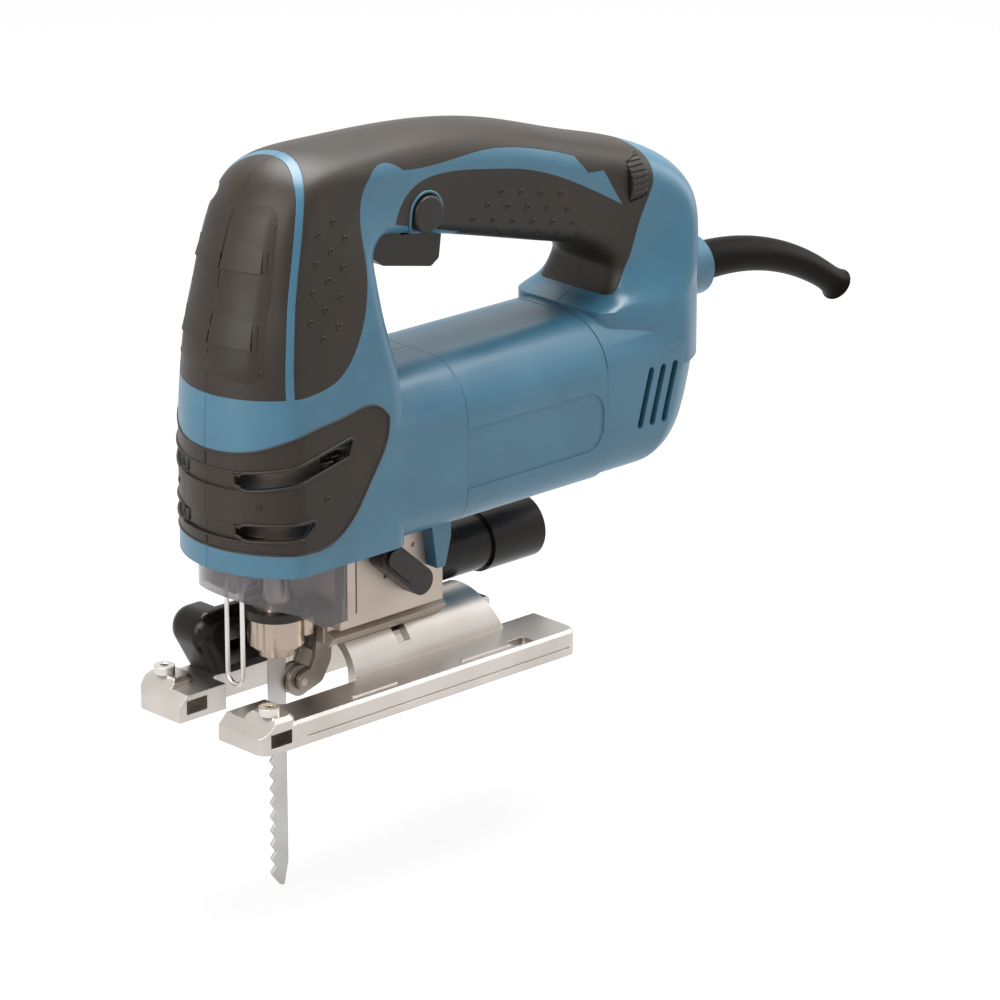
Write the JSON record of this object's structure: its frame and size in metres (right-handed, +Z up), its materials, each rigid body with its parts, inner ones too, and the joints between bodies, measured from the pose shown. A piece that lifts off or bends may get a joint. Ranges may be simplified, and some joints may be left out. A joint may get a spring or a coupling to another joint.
{
  "type": "corded jigsaw",
  "caption": "Corded jigsaw with a D handle, rubber grips, tilting die-cast base, roller-backed blade in a quick clamp, orbital lever, clear dust cover and side nozzle.",
  "frame": {"origin": "point where the blade's centre line meets the plane of the sole", "axes": "+Z up through the handle, -X towards the nose, -Y towards the side with the lock button and orbital lever"},
  "size_m": [0.3424, 0.0797, 0.2855],
  "materials": {
    "shell_plastic": "fine satin moulding grain",
    "grip_rubber": "soft matt overmould",
    "cast_aluminium": "fine blasted die casting",
    "ground_steel": "ground",
    "sintered_bronze": "sintered, oiled",
    "zinc_steel": "zinc plated",
    "nickel_steel": "satin nickel plate",
    "blade_steel": "milled and set",
    "black_plastic": "polished moulding",
    "control_plastic": "satin moulding",
    "clear_plastic": "smoky clear moulding",
    "core_steel": "stacked laminations",
    "winding_copper": "enamelled wire",
    "brush_brass": "pressed",
    "carbon": "pressed carbon"
  },
  "bodies": {
    "housing": {"handle_shell_left": "shell_plastic", "handle_shell_right": "shell_plastic", "soft_grip_left": "grip_rubber", "soft_grip_right": "grip_rubber", "front_pad_left": "grip_rubber", "front_pad_right": "grip_rubber", "vent_cover_left": "grip_rubber", "vent_cover_right": "grip_rubber", "motor_housing": "shell_plastic", "gear_housing": "cast_aluminium", "plunger_bushes": "sintered_bronze", "front_bearing": "ground_steel", "rear_bearing": "ground_steel", "cord_guard": "grip_rubber", "cord_clamp": "control_plastic", "housing_screws": "zinc_steel", "field_core": "core_steel", "field_coils": "winding_copper", "brush_boxes": "brush_brass", "carbon_brushes": "carbon", "base_clamp_shoe": "zinc_steel", "base_clamp_bolt": "zinc_steel", "retainer_pin": "ground_steel", "wire_guard": "ground_steel", "trigger_pin": "ground_steel", "switch_body": "control_plastic", "speed_controller": "control_plastic"},
    "armature": {"armature_shaft": "ground_steel", "armature_core": "core_steel", "armature_windings": "winding_copper", "commutator": "winding_copper", "cooling_fan": "control_plastic"},
    "crank": {"crank_gear": "ground_steel", "gear_shaft": "ground_steel", "crank_roller": "ground_steel"},
    "plunger": {"plunger": "ground_steel", "blade_holder": "nickel_steel", "clamp_cap": "control_plastic", "blade": "blade_steel"},
    "clamp_sleeve": {"clamp_sleeve": "nickel_steel"},
    "retainer": {"roller_retainer": "zinc_steel", "roller_pin": "ground_steel"},
    "guide_roller": {"guide_roller": "ground_steel"},
    "orbit_lever": {"orbit_lever": "control_plastic", "orbit_shaft": "zinc_steel"},
    "base": {"base": "cast_aluminium", "guide_screws": "zinc_steel", "dust_nozzle": "black_plastic"},
    "dust_cover": {"dust_cover": "clear_plastic"},
    "trigger": {"trigger": "control_plastic"},
    "lock_button": {"lock_button": "control_plastic"},
    "speed_dial": {"speed_dial": "control_plastic"}
  },
  "joints": [
    {"name": "armature_spin", "type": "hinge", "parent": "housing", "child": "armature", "pos_m": [0.084, 0, 0.094], "axis": [1, 0, 0], "continuous": true},
    {"name": "crank_spin", "type": "hinge", "parent": "housing", "child": "crank", "pos_m": [0.016, 0, 0.122], "axis": [1, 0, 0], "continuous": true},
    {"name": "plunger_slide", "type": "slide", "parent": "housing", "child": "plunger", "axis": [0, 0, 1], "range_m": [0, 0.026]},
    {"name": "clamp_sleeve_turn", "type": "hinge", "parent": "plunger", "child": "clamp_sleeve", "pos_m": [0, 0, 0.0258], "axis": [0, 0, -1], "range_deg": [0, 20], "stiffness_Nm_per_rad": 0.3},
    {"name": "retainer_swing", "type": "hinge", "parent": "housing", "child": "retainer", "pos_m": [0.0194, 0, 0.027], "axis": [0, -1, 0], "range_deg": [0, 5]},
    {"name": "roller_spin", "type": "hinge", "parent": "retainer", "child": "guide_roller", "pos_m": [0.0092, 0, 0.0086], "axis": [0, 1, 0], "continuous": true},
    {"name": "orbit_lever_turn", "type": "hinge", "parent": "housing", "child": "orbit_lever", "pos_m": [0.0505, -0.018, 0.0435], "axis": [0, -1, 0], "range_deg": [0, 44]},
    {"name": "base_tilt", "type": "hinge", "parent": "housing", "child": "base", "pos_m": [0.024, 0, 0.009], "axis": [1, 0, 0], "range_deg": [-45, 0]},
    {"name": "dust_cover_slide", "type": "slide", "parent": "housing", "child": "dust_cover", "axis": [0, 0, 1], "range_m": [0, 0.012]},
    {"name": "trigger_pull", "type": "hinge", "parent": "housing", "child": "trigger", "pos_m": [0.047, 0, 0.181], "axis": [0, -1, 0], "range_deg": [0, 8], "stiffness_Nm_per_rad": 1.2, "springref_deg": -2.86},
    {"name": "lock_button_press", "type": "slide", "parent": "housing", "child": "lock_button", "axis": [0, 1, 0], "range_m": [0, 0.003], "stiffness_N_per_m": 800, "springref_m": -0.001},
    {"name": "speed_dial_turn", "type": "hinge", "parent": "housing", "child": "speed_dial", "pos_m": [0.166, -0.0126, 0.174], "axis": [1, 0, 0], "range_deg": [0, 270]}
  ],
  "couplings": [
    {"joint": "crank_spin", "follows": "armature_spin", "ratio": -0.19231}
  ]
}
